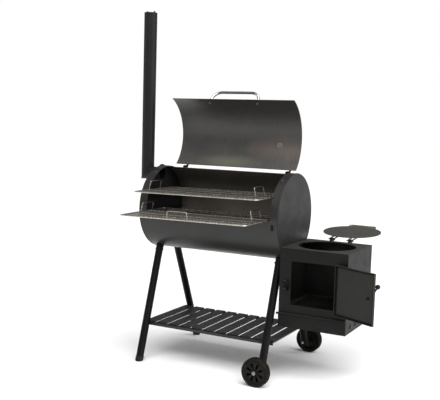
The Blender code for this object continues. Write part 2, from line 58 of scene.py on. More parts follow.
# the barrel's middle and radius, which most places are counted from
SHELL_LO, SHELL_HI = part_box("barrel_shell")
PLATE_LO, PLATE_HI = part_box("right_end_plate")
MID = Vector(((SHELL_LO.x + SHELL_HI.x) / 2, (PLATE_LO.y + PLATE_HI.y) / 2, 0))
AXIS_Z = (PLATE_LO.z + PLATE_HI.z) / 2
RADIUS = (PLATE_HI.z - PLATE_LO.z) / 2
HALF = PLATE_HI.x - MID.x
LID_LO, LID_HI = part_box("lid_shell")
SHEET = 0.0025  # thickness of the barrel's steel
X, Y, Z = Vector((1, 0, 0)), Vector((0, 1, 0)), Vector((0, 0, 1))

# grates: slope in degrees, radii of border and pull loops, and where the long rods lie, front to rear
GRATE_RISE, WIRE_R, LOOP_R = 0.53, 0.0030, 0.0020
ROD_PLACES = (0.05, 0.16, 0.34, 0.62, 0.85)

# legs: radius, and how far they run in and sideways for each unit of height
LEG_R, LEG_LEAN = 0.018, 0.382
LEG_SWAY = {"left": -0.040, "right": -0.019}

# lid: the handle's feet and the dial, in degrees round the barrel, and its hinges along X
HANDLE_DEG = 6.7
DIAL_X, DIAL_DEG = 0.216, 70.0
LID_HINGE_X = (-0.272, 0.291)
RAIL_X = 0.339  # bolts near the barrel's ends

# firebox: the door's width, and the air slots in its right side
DOOR_WIDE = 0.224
AIR_SLOT_Y, AIR_SLOT_Z = (-0.0905, -0.023, 0.0445, 0.112), 0.271

# camera: place from under the barrel's middle; azimuth, downward pitch and roll in degrees; lens in mm
CAMERA_PLACE = (1.7795, -3.4551, 1.1783)
CAMERA_TURN = (27.663, 5.884, 1.642)
CAMERA_LENS = 65.73


def at(x, y, z):
    """A point counted from the floor under the barrel's middle."""
    return Vector((MID.x + x, MID.y + y, z))


def on_barrel(x, deg, r=None):
    """A point on the barrel: 0 degrees is the front, 90 the top."""
    a, r = math.radians(deg), r or RADIUS
    return at(x, -r * math.cos(a), AXIS_Z + r * math.sin(a))


def radial(deg):
    """The way out from the barrel's axis at an angle."""
    a = math.radians(deg)
    return Vector((0, -math.cos(a), math.sin(a)))


def from_closed(name):
    """What takes a point of the shut lid or door to its place at rest."""
    joint = JOINTS[name]
    limit = math.radians(max(joint["range_deg"], key=abs))
    pivot = Vector(joint["pos_m"])
    turn = Matrix.Rotation(-limit, 4, Vector(joint["axis"]))
    return Matrix.Translation(pivot) @ turn @ Matrix.Translation(-pivot)


# ---------------------------------------------------------------- materials


class Nodes:
    """A material's node tree, with short ways to add what the finishes here share."""

    def __init__(self, name, rough, metallic=0.0, specular=0.5):
        self.mat = bpy.data.materials.new(name)
        self.mat.use_nodes = True
        self.tree = self.mat.node_tree
        self.shader = self.tree.nodes["Principled BSDF"]
        self.shader.inputs["Roughness"].default_value = rough
        self.shader.inputs["Metallic"].default_value = metallic
        self.shader.inputs["Specular IOR Level"].default_value = specular
        self.place = self.add("ShaderNodeTexCoord").outputs["Object"]

    def add(self, kind, **values):
        node = self.tree.nodes.new(kind)
        for key, value in values.items():
            setattr(node, key, value)
        return node

    def link(self, a, b):
        self.tree.links.new(a, b)

    def scaled(self, scale):
        """The place on the object, stretched along each axis."""
        node = self.add("ShaderNodeMapping")
        node.inputs["Scale"].default_value = scale
        self.link(self.place, node.inputs["Vector"])
        return node.outputs["Vector"]

    def noise(self, size, detail=3.0, stretch=(1, 1, 1), rough=0.5):
        """Noise whose features are about size metres."""
        node = self.add("ShaderNodeTexNoise")
        node.inputs["Scale"].default_value = 1.0 / size
        node.inputs["Detail"].default_value = detail
        node.inputs["Roughness"].default_value = rough
        self.link(self.scaled(stretch), node.inputs["Vector"])
        return node.outputs["Fac"]

    def ramp(self, source, *stops):
        """Colours or greys along a value: stops are (place, colour)."""
        node = self.add("ShaderNodeValToRGB")
        ramp = node.color_ramp
        while len(ramp.elements) < len(stops):
            ramp.elements.new(0.5)
        for element, (place, colour) in zip(ramp.elements, stops):
            grey = not hasattr(colour, "__len__")
            element.position = place
            element.color = (colour, colour, colour, 1) if grey else (*colour, 1)
        self.link(source, node.inputs["Fac"])
        return node.outputs["Color"]

    def mix(self, fac, a, b, blend="MIX"):
        node = self.add("ShaderNodeMix", data_type="RGBA", blend_type=blend)
        for socket, value in ((node.inputs[0], fac), (node.inputs[6], a), (node.inputs[7], b)):
            if isinstance(value, bpy.types.NodeSocket):
                self.link(value, socket)
            else:
                socket.default_value = value if not hasattr(value, "__len__") else (*value, 1)
        return node.outputs[2]

    def maths(self, how, a, b=0.0):
        node = self.add("ShaderNodeMath", operation=how)
        for socket, value in zip(node.inputs, (a, b)):
            if isinstance(value, bpy.types.NodeSocket):
                self.link(value, socket)
            else:
                socket.default_value = value
        return node.outputs[0]

    def bump(self, height, depth, strength=1.0):
        node = self.add("ShaderNodeBump")
        node.inputs["Distance"].default_value = depth
        node.inputs["Strength"].default_value = strength
        self.link(height, node.inputs["Height"])
        self.link(node.outputs["Normal"], self.shader.inputs["Normal"])

    def colour(self, source):
        self.link(source, self.shader.inputs["Base Color"])

    def roughness(self, source):
        self.link(source, self.shader.inputs["Roughness"])

    def rise(self, low, high, *stops):
        """Greys along Z between two heights."""
        parts = self.add("ShaderNodeSeparateXYZ")
        self.link(self.place, parts.inputs[0])
        up = self.maths("DIVIDE", self.maths("SUBTRACT", parts.outputs[2], low), high - low)
        return self.ramp(up, *stops)

    def spot(self, middle, size):
        """A soft patch, strongest at middle and gone at size from it along each axis."""
        node = self.add("ShaderNodeMapping")
        node.inputs["Scale"].default_value = [1 / v for v in size]
        node.inputs["Location"].default_value = [-c / v for c, v in zip(middle, size)]
        self.link(self.place, node.inputs["Vector"])
        patch = self.add("ShaderNodeTexGradient", gradient_type="SPHERICAL")
        self.link(node.outputs["Vector"], patch.inputs["Vector"])
        return self.maths("MULTIPLY", patch.outputs["Fac"], self.noise(0.02, 3, (20, 1, 1)))

    def upward(self, colour, source):
        """Another colour on faces that look up, used as painted light from above."""
        parts = self.add("ShaderNodeSeparateXYZ")
        self.link(self.add("ShaderNodeNewGeometry").outputs["Normal"], parts.inputs[0])
        self.colour(self.mix(self.ramp(parts.outputs[2], (0.7, 0.0), (0.97, 1.0)), source, colour))

    def inside(self, y, z, r):
        """1 where the surface is nearer than r to the line along X at y, z."""
        parts = self.add("ShaderNodeSeparateXYZ")
        self.link(self.place, parts.inputs[0])
        a = self.maths("SUBTRACT", parts.outputs[1], y)
        b = self.maths("SUBTRACT", parts.outputs[2], z)
        square = self.maths("ADD", self.maths("MULTIPLY", a, a), self.maths("MULTIPLY", b, b))
        return self.maths("LESS_THAN", self.maths("SQRT", square), r)


def enamel(name, dark, light, rough=(0.40, 0.52), specular=0.35, grain=0.0016):
    """Sprayed heat-proof paint: slight mottle, fine orange peel, dull patches."""
    m = Nodes(name, sum(rough) / 2, specular=specular)
    cloud = m.noise(0.16, 3)
    speck = m.noise(0.0022, 2)
    tone = m.ramp(cloud, (0.25, dark), (0.78, light))
    m.colour(m.mix(m.ramp(speck, (0.58, 0.0), (0.72, 0.35)), tone, tuple(c * 1.5 for c in light)))
    m.roughness(m.ramp(m.noise(0.05, 5), (0.3, rough[0]), (0.7, rough[1])))
    m.bump(m.noise(grain, 2), 0.00004, 0.5)
    return m


def lid_paint():
    """Outside as the barrel; inside a rolled, glossier sheet with fine streaks along its bend, painted
    reflections and painted shade.
    """
    m = Nodes("lid_paint", 0.4, specular=0.5)
    turn = from_closed("lid_hinge")
    axle = turn @ at(0, 0, AXIS_Z)
    inner = m.inside(axle.y, axle.z, (RADIUS + 0.0015))
    streak = m.noise(0.05, 5, (28, 1, 1), 0.65)
    cloud = m.noise(0.16, 3)
    outer = m.ramp(cloud, (0.3, (0.020, 0.0195, 0.019)), (0.7, (0.030, 0.029, 0.028)))
    rolled = m.ramp(streak, (0.30, (0.026, 0.025, 0.023)), (0.72, (0.052, 0.049, 0.045)))
    stain = m.ramp(m.noise(0.09, 4), (0.50, 0.0), (0.75, 0.5))
    rolled = m.mix(stain, rolled, (0.060, 0.050, 0.043))
    tall, long = LID_HI.z - LID_LO.z, LID_HI.x - LID_LO.x
    # painted reflections on the lid's inside: a pinkish patch to the right and a greenish streak low in the
    # middle
    painted_warm_reflection = Vector((LID_LO.x + 0.87 * long, LID_LO.y, LID_LO.z + 0.30 * tall))
    painted_green_reflection = Vector((LID_LO.x + 0.44 * long, LID_LO.y, LID_LO.z + 0.08 * tall))
    rolled = m.mix(m.spot(painted_warm_reflection, (0.24, 0.5, 0.065)), rolled, (0.150, 0.112, 0.093))
    rolled = m.mix(m.spot(painted_green_reflection, (0.20, 0.5, 0.038)), rolled, (0.115, 0.126, 0.082))
    # painted shade: the lid's inside darker towards its top and lighter towards its bottom where it rests
    # open
    rolled = m.mix(1.0, rolled, m.rise(LID_LO.z, LID_HI.z, (0.0, 1.55), (0.45, 1.0), (1.0, 0.62)), "MULTIPLY")
    m.colour(m.mix(inner, outer, rolled))
    gloss = m.ramp(streak, (0.25, 0.26), (0.75, 0.44))
    m.roughness(m.mix(inner, m.ramp(cloud, (0.3, 0.40), (0.7, 0.50)), gloss))
    m.bump(m.noise(0.04, 4, (30, 1, 1)), 0.00012, 0.5)
    return m.mat


def shell_paint():
    """The barrel: satin outside, lighter and browner inside."""
    m = enamel("shell_paint", (0.013, 0.0126, 0.0118), (0.019, 0.0184, 0.0172), (0.30, 0.40), 0.36)
    inner = m.inside(MID.y, AXIS_Z, RADIUS - SHEET / 2)
    outside = m.shader.inputs["Base Color"].links[0].from_socket
    # the inside is lighter and browner than the outside, in patches drawn out along the barrel
    inside_tone = m.ramp(m.noise(0.14, 5, (0.5, 1, 1)), (0.35, (0.070, 0.063, 0.054)), (0.70, (0.125, 0.112, 0.096)))
    m.colour(m.mix(inner, outside, inside_tone))
    return m.mat


def firebox_paint():
    """Matt, nearly black paint, painted lighter on the faces that look up as painted light from above."""
    m = enamel("firebox_paint", (0.0045, 0.0042, 0.0038), (0.0085, 0.008, 0.0074), (0.46, 0.58), 0.17)
    # painted light: faces that look up are painted lighter, standing in for light from above
    m.upward((0.030, 0.0285, 0.0255), m.shader.inputs["Base Color"].links[0].from_socket)
    return m.mat


def plated(name, colour, stain, rough, wear=0.5):
    """Bright plated metal with a faint dull film in places."""
    m = Nodes(name, rough, metallic=1.0)
    film = m.ramp(m.noise(0.012, 4), (0.42, 0.0), (0.68, wear))
    m.colour(m.mix(film, colour, stain))
    m.roughness(m.ramp(m.noise(0.008, 3), (0.35, rough), (0.7, rough + 0.14)))
    m.bump(m.noise(0.0009, 2), 0.00003, 0.4)
    return m.mat


def moulded(name, dark, light, rough, grain=0.0009, depth=0.00008, specular=0.2):
    """Moulded plastic or rubber with a fine spark-eroded grain."""
    m = Nodes(name, rough, specular=specular)
    m.colour(m.ramp(m.noise(0.03, 4), (0.35, dark), (0.68, light)))
    m.roughness(m.ramp(m.noise(0.006, 3), (0.3, rough - 0.06), (0.7, rough + 0.08)))
    m.bump(m.noise(grain, 2), depth, 0.7)
    return m.mat


def dial_face():
    """Cream enamel of the thermometer's dial, slightly aged."""
    m = Nodes("dial_face", 0.35, specular=0.5)
    m.colour(m.ramp(m.noise(0.02, 2), (0.3, (0.66, 0.64, 0.58)), (0.7, (0.72, 0.70, 0.64))))
    return m.mat


PAINT = enamel("black_paint", (0.016, 0.0157, 0.015), (0.026, 0.025, 0.024), specular=0.30).mat
PIPE = enamel("pipe_paint", (0.008, 0.008, 0.008), (0.013, 0.013, 0.0128), (0.34, 0.42), 0.15).mat
SHELL = shell_paint()
PLATE = enamel("plate_paint", (0.011, 0.011, 0.0108), (0.017, 0.017, 0.0166), (0.42, 0.52), 0.22).mat
FRAME = enamel("frame_paint", (0.003, 0.003, 0.003), (0.0055, 0.0054, 0.0052), (0.34, 0.44), 0.11).mat
DOOR = enamel("door_paint", (0.015, 0.015, 0.0128), (0.023, 0.0228, 0.0198), (0.50, 0.60), 0.18).mat
FIREBOX = firebox_paint()
COVER = enamel("cover_paint", (0.032, 0.030, 0.026), (0.048, 0.045, 0.040), (0.46, 0.58), 0.35).mat
# grate iron: its own dark colour, halved to read dim inside the firebox, so partly painted shade
IRON = enamel("grate_iron", (0.007, 0.0066, 0.006), (0.018, 0.0155, 0.0135), (0.6, 0.75), 0.2, 0.003).mat
LID = lid_paint()
CHROME = plated("chromed_tube", (0.52, 0.50, 0.46), (0.33, 0.31, 0.27), 0.16)
YELLOWED = plated("yellowed_chrome", (0.40, 0.375, 0.25), (0.17, 0.155, 0.105), 0.26)
WIRE = plated("bright_wire", (0.62, 0.575, 0.51), (0.30, 0.26, 0.22), 0.24)
MESH = plated("mesh_wire", (0.115, 0.108, 0.098), (0.05, 0.046, 0.042), 0.42)
BRONZE = plated("loop_wire", (0.46, 0.41, 0.35), (0.20, 0.17, 0.14), 0.26)
ZINC = plated("zinc_steel", (0.60, 0.60, 0.58), (0.40, 0.40, 0.38), 0.30)
DULL = plated("dull_zinc", (0.27, 0.27, 0.26), (0.16, 0.16, 0.155), 0.38)
BOLT = plated("black_bolt", (0.10, 0.098, 0.094), (0.055, 0.05, 0.046), 0.34)
PLASTIC = moulded("black_plastic", (0.006, 0.006, 0.006), (0.012, 0.012, 0.012), 0.42)
HUB = moulded("hub_plastic", (0.0055, 0.0052, 0.0048), (0.0105, 0.0100, 0.0092), 0.42, specular=0.14)
RUBBER = moulded("tyre_rubber", (0.0085, 0.0070, 0.0052), (0.0170, 0.0142, 0.0110),
                 0.72, 0.0014, 0.00015, 0.05)
ROPE = moulded("rope_seal", (0.003, 0.003, 0.003), (0.008, 0.008, 0.0075), 0.85, 0.0016, 0.0006, 0.08)
DIAL = dial_face()


# ---------------------------------------------------------------- shapes


def piece(name, bm, mat, body, sharp=38, closed=None):
    """Turns a bmesh into a piece that rides on a body. closed names the joint it is shut on."""
    if closed:
        bm.transform(from_closed(closed))
    bmesh.ops.recalc_face_normals(bm, faces=bm.faces[:])
    mesh = bpy.data.meshes.new(name)
    bm.to_mesh(mesh)
    bm.free()
    mesh.shade_smooth()
    mesh.set_sharp_from_angle(angle=math.radians(sharp))
    mesh.materials.append(mat)
    ob = bpy.data.objects.new(name, mesh)
    bpy.context.scene.collection.objects.link(ob)
    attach(ob, body)
    return ob


def basis(axis):
    """The turn that takes Z to an axis."""
    return axis.normalized().to_track_quat("Z", "Y").to_matrix()


def turned(bm, profile, foot, axis, n=28, twist=0.0):
    """A profile of (radius, height) turned about an axis through foot; radius 0 closes an end."""
    turn = basis(axis)
    rings = []
    for r, h in profile:
        if r < 1e-6:
            rings.append([bm.verts.new(foot + turn @ Vector((0, 0, h)))])
            continue
        angles = [twist + 2 * math.pi * i / n for i in range(n)]
        spots = [Vector((r * math.cos(a), r * math.sin(a), h)) for a in angles]
        rings.append([bm.verts.new(foot + turn @ spot) for spot in spots])
    for a, b in zip(rings, rings[1:]):
        bridge(bm, a, b, n)
    if len(rings[0]) > 1 and len(rings[-1]) > 1:
        bridge(bm, rings[-1], rings[0], n)


def bridge(bm, a, b, n):
    """Faces between two rings of n points, either of which may be a single point."""
    for i in range(n):
        j = (i + 1) % n
        corners = [a[i % len(a)], a[j % len(a)], b[j % len(b)], b[i % len(b)]]
        face = list(dict.fromkeys(corners))
        bm.faces.new(face)


def swept(bm, points, r, n=8, loop=False, flat=1.0):
    """A round bar along points; flat squeezes it in its second direction."""
    count = len(points)
    rings = []
    side = None
    for i, p in enumerate(points):
        a = points[(i - 1) % count] if loop or i else p
        b = points[(i + 1) % count] if loop or i < count - 1 else p
        run = (b - a).normalized()
        if side is None:
            side = run.cross(Z if abs(run.z) < 0.9 else X).normalized()
        side = (side - run * side.dot(run)).normalized()
        up = run.cross(side)
        before = (p - a).normalized() if (p - a).length > 1e-9 else run
        grow = 1.0 / max(0.6, run.dot(before))
        ring = []
        for k in range(n):
            t = 2 * math.pi * (k + 0.5) / n
            ring.append(bm.verts.new(p + (side * math.cos(t) * grow + up * math.sin(t) * flat) * r))
        rings.append(ring)
    for a, b in zip(rings, rings[1:]):
        bridge(bm, a, b, n)
    if loop:
        bridge(bm, rings[-1], rings[0], n)
    else:
        bm.faces.new(rings[0])
        bm.faces.new(rings[-1])


def block(bm, lo, hi, bevel=0.0, steps=2):
    """A box between two corners with rounded edges."""
    size = [max(b - a, 1e-5) for a, b in zip(lo, hi)]
    mid = (Vector(lo) + Vector(hi)) / 2
    place = Matrix.Translation(mid) @ Matrix.Diagonal((*size, 1))
    made = bmesh.ops.create_cube(bm, size=1.0, matrix=place)["verts"]
    if bevel:
        edges = list({e for v in made for e in v.link_edges})
        bmesh.ops.bevel(bm, geom=edges, offset=bevel, segments=steps, affect="EDGES", profile=0.5)


def rounded(corners, r, n=5, loop=False):
    """A line through corners, with each turn rounded to radius r."""
    pts = [Vector(c) for c in corners]
    count = len(pts)
    out = [] if loop else [pts[0]]
    for i in range(count) if loop else range(1, count - 1):
        a, b, c = pts[i - 1], pts[i], pts[(i + 1) % count]
        u, v = (a - b).normalized(), (c - b).normalized()
        half = u.angle(v) / 2
        mid = b + (u + v).normalized() * r / math.sin(half)
        p, q = b + u * r / math.tan(half) - mid, b + v * r / math.tan(half) - mid
        out += [mid + p.lerp(q, k / n).normalized() * r for k in range(n + 1)]
    return out if loop else out + [pts[-1]]


def flat_plate(bm, loops, thick, foot, axis, across, bevel=0.0004):
    """A flat outline with holes, drawn in (across, up) about foot and facing axis."""
    data = bpy.data.curves.new("outline", "CURVE")
    data.dimensions, data.fill_mode = "2D", "BOTH"
    data.extrude, data.bevel_depth, data.bevel_resolution = thick / 2 - bevel, bevel, 1
    for loop in loops:
        line = data.splines.new("POLY")
        line.points.add(len(loop) - 1)
        for point, (u, v) in zip(line.points, loop):
            point.co = (u, v, 0, 1)
        line.use_cyclic_u = True
    ob = bpy.data.objects.new("outline", data)
    bpy.context.scene.collection.objects.link(ob)
    shape = bpy.data.meshes.new_from_object(ob.evaluated_get(bpy.context.evaluated_depsgraph_get()))
    axis, across = axis.normalized(), across.normalized()
    turn = Matrix((across, axis.cross(across), axis)).transposed().to_4x4()
    shape.transform(Matrix.Translation(foot) @ turn)
    bm.from_mesh(shape)
    bmesh.ops.remove_doubles(bm, verts=bm.verts[:], dist=0.00001)
    bpy.data.objects.remove(ob)
    bpy.data.meshes.remove(shape)


def circle(r, n=32):
    """A round outline for flat_plate."""
    angles = [2 * math.pi * i / n for i in range(n)]
    return [(r * math.cos(a), r * math.sin(a)) for a in angles]


def hex_bolt(bm, foot, axis, r=0.0055, washer=True):
    """A hexagon head on a washer; foot is on the surface."""
    h = 0.0
    if washer:
        h = 0.0012
        turned(bm, [(0, 0), (r * 1.45, 0), (r * 1.5, h * 0.5), (r * 1.4, h), (0, h)], foot, axis, 20)
    head = [(0, h), (r, h), (r, h + r * 0.62), (r * 0.86, h + r * 0.75), (0, h + r * 0.75)]
    turned(bm, head, foot, axis, 6, 0.3)


def dome_bolt(bm, foot, axis, r=0.006):
    """A round cup head."""
    rise = [(r * math.cos(a), r * 0.55 * math.sin(a)) for a in [math.pi / 2 * i / 5 for i in range(5)]]
    turned(bm, [(0, 0)] + [(r, 0)] + rise[1:] + [(0, r * 0.55)], foot, axis, 18)


def nut(bm, foot, axis, r=0.0055, tail=0.004):
    """A nut on a washer with the bolt's end standing out of it."""
    hex_bolt(bm, foot, axis, r)
    tip = foot + axis.normalized() * (0.0012 + r * 0.75)
    shank = [(0, -0.001), (r * 0.5, -0.001), (r * 0.5, tail - 0.0006), (r * 0.38, tail), (0, tail)]
    turned(bm, shank, tip, axis, 14)


def finish_node(name, mat, bevel=0.0, sharp=35):
    """Paints a CAD node and rounds its edges a little."""
    ob = NODES[name]
    ob.data.materials.clear()
    ob.data.materials.append(mat)
    if bevel:
        mod = ob.modifiers.new("edges", "BEVEL")
        mod.width, mod.segments, mod.limit_method = bevel, 2, "ANGLE"
        mod.angle_limit = math.radians(40)
    ob.data.shade_smooth()
    ob.data.set_sharp_from_angle(angle=math.radians(sharp))


# ---------------------------------------------------------------- CAD nodes that stay


def keep_nodes():
    """Finishes for the CAD nodes whose shape is right as it is."""
    finish_node("barrel_shell", SHELL, bevel=0.0006)
    finish_node("lid_shell", LID, bevel=0.0006)
    for name in ("left_end_plate", "right_end_plate"):
        finish_node(name, PLATE, bevel=0.0008)
    for name in ("chimney_elbow", "chimney_stack"):
        finish_node(name, PIPE)
    finish_node("chimney_damper", PIPE, bevel=0.0004)
    for face in ("front", "rear"):
        for end in ("left", "right"):
            finish_node(f"{face}_{end}_leg", FRAME)
    finish_node("firebox_body", FIREBOX, bevel=0.0006)
    finish_node("ash_drawer", FIREBOX, bevel=0.0005)
    finish_node("firebox_door", DOOR, bevel=0.0007)
    finish_node("firebox_lid", COVER, bevel=0.0006)
    for name in NODES:
        if name.startswith("shelf_"):
            finish_node(name, PAINT, bevel=0.0005)
        elif name.startswith(("charcoal_",)):
            finish_node(name, IRON, bevel=0.0004)
        elif name.endswith("_rail"):
            finish_node(name, FRAME, bevel=0.0003)
        elif "hinge_" in name or name.startswith("firebox_lid_bracket"):
            finish_node(name, FRAME, bevel=0.0003)
    finish_node("door_catch", FRAME, bevel=0.0003)
    finish_node("latch_lever", FRAME, bevel=0.0003)
    finish_node("lid_handle", CHROME)
    finish_node("firebox_lid_handle", YELLOWED)
    for face in ("front", "rear"):
        finish_node(f"{face}_axle_bolt", ZINC)


# ---------------------------------------------------------------- grates


def grate(level, right_loop, loop_y, front_loop):
    """A wire border filled with expanded mesh, carried on rods, with loops to pull it by."""
    body = f"{level}_grate"
    lo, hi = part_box(body)
    rise = math.radians(GRATE_RISE)
    half, deep = (hi.x - lo.x) / 2 - WIRE_R, (hi.y - lo.y) / 2 - WIRE_R
    mid = Vector(((lo.x + hi.x) / 2, (lo.y + hi.y) / 2, lo.z + WIRE_R + half * math.sin(rise)))
    place = Matrix.Translation(mid) @ Matrix.Rotation(-rise, 4, "Y")
    border = bmesh.new()
    corners = [(-half, -deep, 0), (half, -deep, 0), (half, deep, 0), (-half, deep, 0)]
    swept(border, rounded(corners, 0.012, 5, loop=True), WIRE_R, 10, loop=True)
    border.transform(place)
    ob = piece(f"{level}_grate_border", border, WIRE, body)
    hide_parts(body)
    net = bmesh.new()
    mesh_rows(net, half, deep)
    net.transform(place)
    piece(f"{level}_grate_mesh", net, MESH, body)
    rods = bmesh.new()
    for share in ROD_PLACES:
        y = deep * (2 * share - 1)
        swept(rods, [Vector((-half, y, 0.0014)), Vector((half, y, 0.0014))], 0.0013, 8)
    for k in range(1, 4):
        x = half * (k / 2 - 1)
        swept(rods, [Vector((x, -deep, -0.0022)), Vector((x, deep, -0.0022))], 0.0014, 8)
    rods.transform(place)
    piece(f"{level}_grate_rods", rods, WIRE, body)
    loops = bmesh.new()
    for foot, lean in ((-half, 0.009), (right_loop, -0.009)):
        path = [(foot, loop_y - 0.048, 0), (foot + lean, loop_y - 0.048, 0.042),
                (foot + lean, loop_y + 0.048, 0.042), (foot, loop_y + 0.048, 0)]
        swept(loops, rounded(path, 0.008, 5), LOOP_R, 10)
    if front_loop:
        a, b = front_loop
        path = [(a, -deep, 0), (a, -deep, 0.037), (b, -deep, 0.037), (b, -deep, 0)]
        swept(loops, rounded(path, 0.010, 5), LOOP_R, 10)
    loops.transform(place)
    piece(f"{level}_grate_loops", loops, BRONZE, body)


def mesh_rows(bm, half, deep, pitch=0.0160, row=0.0078):
    """Expanded mesh: strands that zigzag along X and meet their neighbours at each knuckle."""
    rows, steps = round(2 * deep / row), 2 * round(2 * half / pitch)
    dy, dx = 2 * deep / rows, 2 * half / steps
    for j in range(rows):
        mid = dy * (j + 0.5) - deep
        way = 1 if j % 2 else -1
        line = []
        for i in range(steps + 1):
            swing = way if i % 2 else -way
            line.append(Vector((dx * i - half, mid + swing * dy * 0.48, 0.0010 + swing * 0.0014)))
        swept(bm, line, 0.0008, 4)


# ---------------------------------------------------------------- wheels


def wheel(face, side):
    """Tyre, slotted wheel, hub cap and spacer; side is -1 for the front wheel."""
    body = f"{face}_wheel"
    lo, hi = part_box(f"{face}_tyre")
    mid = (lo + hi) / 2
    r, w = (hi.z - lo.z) / 2, (hi.y - lo.y) / 2
    out = Y * side
    bolt_lo, bolt_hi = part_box(f"{face}_axle_bolt")
    bore = (bolt_hi.z - bolt_lo.z) / 2 + 0.0003
    rim = r - 0.0142
    bm = bmesh.new()
    profile = [(rim, -w + 0.003), (rim + 0.004, -w + 0.0006), (r - 0.0075, -w), (r - 0.003, -w + 0.0022),
               (r - 0.0008, -w + 0.006), (r, -w + 0.0085)]
    for y in (-0.005, 0.0, 0.005):
        profile += [(r, y - 0.0011), (r - 0.0012, y - 0.0007), (r - 0.0012, y + 0.0007), (r, y + 0.0011)]
    profile += [(a, -b) for a, b in profile[5::-1]]
    turned(bm, profile, mid, out, 72)
    tyre = piece(f"{face}_tyre_rubber", bm, RUBBER, body)
    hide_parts(f"{face}_tyre")
    # rim, slotted web and boss
    bm = bmesh.new()
    rim_in = rim - 0.0050
    band = [(rim - 0.0004, -w + 0.0025), (rim - 0.0006, w - 0.0025),
            (rim_in, w - 0.0040), (rim_in, -w + 0.0040)]
    turned(bm, band, mid, out, 72)
    slots = [spoke_slot(2 * math.pi * (k + 0.5) / 8) for k in range(8)]
    flat_plate(bm, [circle(rim_in + 0.0012, 72), circle(bore + 0.0030, 28)] + slots, 0.005,
               mid + out * (w - 0.009), out, X, 0.0006)
    boss = 0.0115
    turned(bm, [(bore, -w - 0.001), (boss - 0.002, -w - 0.001), (boss, -w + 0.003), (boss, w - 0.003),
                (boss - 0.002, w + 0.0005), (bore, w + 0.0005)], mid, out, 32)
    flat_plate(bm, [circle(rim_in + 0.0012, 72), circle(bore + 0.0030, 28)], 0.003, mid - out * 0.006, out, X)
    hub = piece(f"{face}_wheel_hub", bm, HUB, body, 30)
    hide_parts(f"{face}_wheel")
    # push-on cap over the bolt's end
    end = Vector((mid.x, bolt_lo.y if side < 0 else bolt_hi.y, mid.z))
    bm = bmesh.new()
    cap = [(0.0052, -0.0012), (0.0088, -0.0012), (0.0092, 0.0),
           (0.0084, 0.0022), (0.0060, 0.0036), (0, 0.0040)]
    turned(bm, [(0, -0.0012)] + cap, end - out * 0.0022, out, 32)
    piece(f"{face}_hub_cap", bm, DULL, "smoker")
    bm = bmesh.new()
    leg_y = leg_face(side, mid.z)
    long = abs(mid.y - side * (w + 0.0014) - leg_y)
    turned(bm, [(bore, 0), (0.0085, 0), (0.0085, long), (bore, long)], Vector((mid.x, leg_y, mid.z)), out, 24)
    piece(f"{face}_axle_spacer", bm, PLASTIC, "smoker")


def spoke_slot(a, inner=0.0175, outer=0.0375, wide=0.0068):
    """The outline of one slot between two spokes, round at both ends."""
    u, v = Vector((math.cos(a), math.sin(a))), Vector((-math.sin(a), math.cos(a)))
    loop = []
    for middle, half, way in ((outer, wide, 1), (inner, wide * 0.6, -1)):
        for q in range(9):
            t = math.pi * q / 8
            p = u * (middle + way * half * math.sin(t) * 0.8) + v * way * half * math.cos(t)
            loop.append((p.x, p.y))
    return loop


def leg_face(side, z):
    """Y of the outer face of the right leg at the axle's height, with room for a washer."""
    lo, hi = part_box(f"{'front' if side < 0 else 'rear'}_right_leg")
    low = lo.y if side < 0 else hi.y
    return low - side * LEG_LEAN * (z - lo.z) + side * 0.0035


# ---------------------------------------------------------------- lid


def lid_fittings():
    """The handle's nuts and roses, the thermometer and the hinges' rivets."""
    lo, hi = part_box("lid_handle")
    ends = (lo.x + 0.007, hi.x - 0.007)
    foot = HANDLE_DEG
    bm = bmesh.new()
    for x in ends:
        nut(bm, on_barrel(x - MID.x, foot, RADIUS + 0.0004), -radial(foot), 0.0040, 0.003)
    piece("lid_handle_nuts", bm, DULL, "lid", closed="lid_hinge")
    bm = bmesh.new()
    rose = [(0.0074, 0), (0.0135, 0), (0.0138, 0.0016), (0.0115, 0.0034), (0.0085, 0.0040), (0.0074, 0.0040)]
    for x in ends:
        turned(bm, rose, on_barrel(x - MID.x, foot, RADIUS + 0.0028), radial(foot), 28)
    piece("lid_handle_roses", bm, CHROME, "lid", closed="lid_hinge")
    thermometer(DIAL_X, DIAL_DEG)
    bm = bmesh.new()
    for x in LID_HINGE_X:
        for deg in (93.0, 99.5):
            dome_bolt(bm, on_barrel(x + 0.006, deg, RADIUS + 0.0006), -radial(deg), 0.0040)
    piece("lid_hinge_rivets", bm, BOLT, "lid", closed="lid_hinge")


